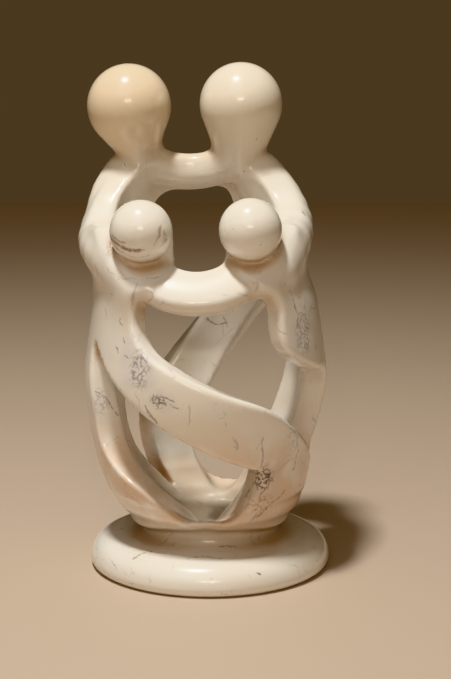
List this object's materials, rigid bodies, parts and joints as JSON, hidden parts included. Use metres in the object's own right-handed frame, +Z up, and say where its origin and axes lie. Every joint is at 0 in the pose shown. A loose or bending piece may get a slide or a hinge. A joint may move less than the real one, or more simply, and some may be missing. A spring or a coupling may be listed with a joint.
{
  "type": "soapstone family sculpture",
  "caption": "Standing stone carving of a family: ball-headed figures whose bodies run down into twisting bands around an open bowl, on a round base.",
  "frame": {"origin": "centre of the flat underside of the base", "axes": "+Z up, the children face -Y, +X to the right as seen from the front"},
  "size_m": [0.1263, 0.1219, 0.2524],
  "materials": {
    "soapstone": "polished ivory soapstone with fine grey-violet veins"
  },
  "bodies": {
    "root": {"family_carving": "soapstone"}
  },
  "joints": []
}
